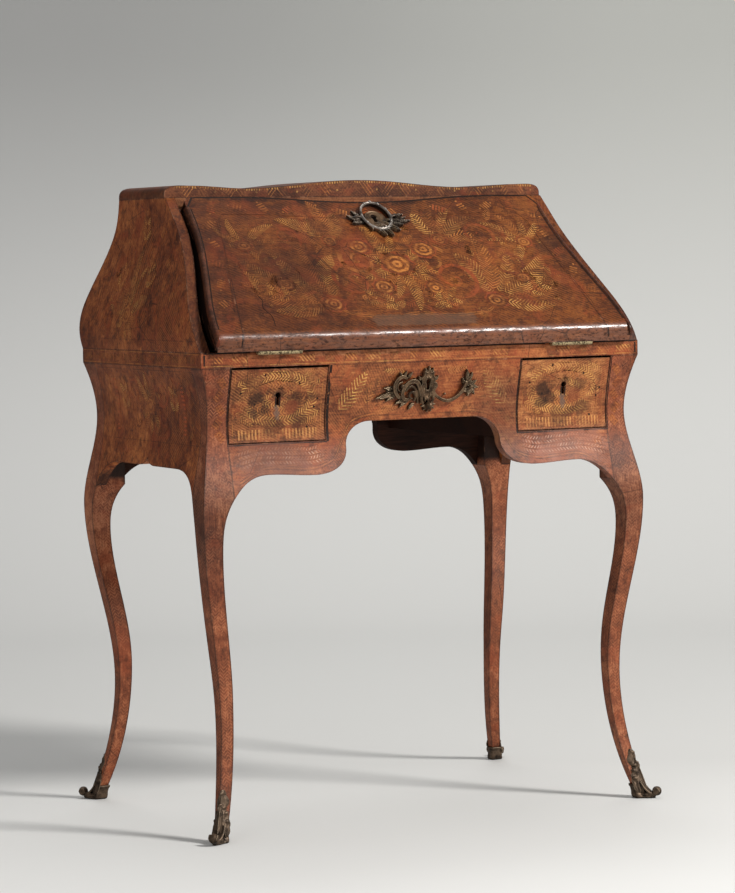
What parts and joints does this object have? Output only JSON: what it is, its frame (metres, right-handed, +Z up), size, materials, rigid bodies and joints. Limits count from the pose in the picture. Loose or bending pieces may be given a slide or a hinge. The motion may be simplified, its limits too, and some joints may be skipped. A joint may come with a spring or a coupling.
{
  "type": "escritoire",
  "caption": "Bombe fall-front writing desk on four cabriole legs, with inlaid veneer, cast bronze mounts and shoes.",
  "frame": {"origin": "on the floor, midway between the outermost points of the feet", "axes": "+Z up, -Y towards the sitter, +X to the sitter's right"},
  "size_m": [0.7914, 0.5194, 0.984],
  "materials": {
    "veneer": "satin, old polish",
    "inner_wood": "bare, aged",
    "interior_wood": "satin, waxed",
    "gilt_bronze": "worn, tarnished",
    "hinge_brass": "rubbed, satin",
    "lock_steel": "aged, dull"
  },
  "bodies": {
    "carcass": {"back_apron": "veneer", "back_left_leg": "veneer", "back_left_shoe": "gilt_bronze", "back_right_leg": "veneer", "back_right_shoe": "gilt_bronze", "case_back": "veneer", "case_left_side": "veneer", "case_right_side": "veneer", "centre_mount": "gilt_bronze", "front_apron": "veneer", "front_left_leg": "veneer", "front_left_shoe": "gilt_bronze", "front_right_leg": "veneer", "front_right_shoe": "gilt_bronze", "interior_shelf": "interior_wood", "left_apron": "veneer", "left_drawer_floor_board": "inner_wood", "left_hinge_fixed_leaf": "hinge_brass", "left_hinge_pin": "hinge_brass", "left_partition": "inner_wood", "left_pigeonhole_divider": "interior_wood", "left_upright": "interior_wood", "lid_stop_rail": "interior_wood", "right_apron": "veneer", "right_drawer_floor_board": "inner_wood", "right_hinge_fixed_leaf": "hinge_brass", "right_hinge_pin": "hinge_brass", "right_partition": "inner_wood", "right_pigeonhole_divider": "interior_wood", "right_upright": "interior_wood", "top_board": "veneer", "well_floor": "inner_wood", "writing_bed": "veneer"},
    "lid": {"lid_panel": "veneer", "lid_left_clamp": "veneer", "lid_right_clamp": "veneer", "lid_lock": "lock_steel", "lid_escutcheon": "gilt_bronze", "left_hinge_lid_leaf": "hinge_brass", "right_hinge_lid_leaf": "hinge_brass"},
    "well_cover": {"well_cover": "interior_wood"},
    "left_drawer": {"left_drawer_front": "veneer", "left_drawer_left_side": "inner_wood", "left_drawer_right_side": "inner_wood", "left_drawer_back": "inner_wood", "left_drawer_bottom": "inner_wood", "left_drawer_lock": "lock_steel"},
    "left_inner_drawer": {"left_inner_drawer_front": "interior_wood", "left_inner_drawer_box": "inner_wood", "left_inner_drawer_knob": "hinge_brass"},
    "right_drawer": {"right_drawer_front": "veneer", "right_drawer_left_side": "inner_wood", "right_drawer_right_side": "inner_wood", "right_drawer_back": "inner_wood", "right_drawer_bottom": "inner_wood", "right_drawer_lock": "lock_steel"},
    "right_inner_drawer": {"right_inner_drawer_front": "interior_wood", "right_inner_drawer_box": "inner_wood", "right_inner_drawer_knob": "hinge_brass"}
  },
  "joints": [
    {"name": "lid_hinge", "type": "hinge", "parent": "carcass", "child": "lid", "pos_m": [0, -0.226, 0.7246], "axis": [1, 0, 0], "range_deg": [0, 136]},
    {"name": "left_drawer_slide", "type": "slide", "parent": "carcass", "child": "left_drawer", "axis": [0, -1, 0], "range_m": [0, 0.26]},
    {"name": "right_drawer_slide", "type": "slide", "parent": "carcass", "child": "right_drawer", "axis": [0, -1, 0], "range_m": [0, 0.26]},
    {"name": "left_inner_drawer_slide", "type": "slide", "parent": "carcass", "child": "left_inner_drawer", "axis": [0, -1, 0], "range_m": [0, 0.13]},
    {"name": "right_inner_drawer_slide", "type": "slide", "parent": "carcass", "child": "right_inner_drawer", "axis": [0, -1, 0], "range_m": [0, 0.13]},
    {"name": "well_cover_slide", "type": "slide", "parent": "carcass", "child": "well_cover", "axis": [0, 1, 0], "range_m": [0, 0.139]}
  ]
}
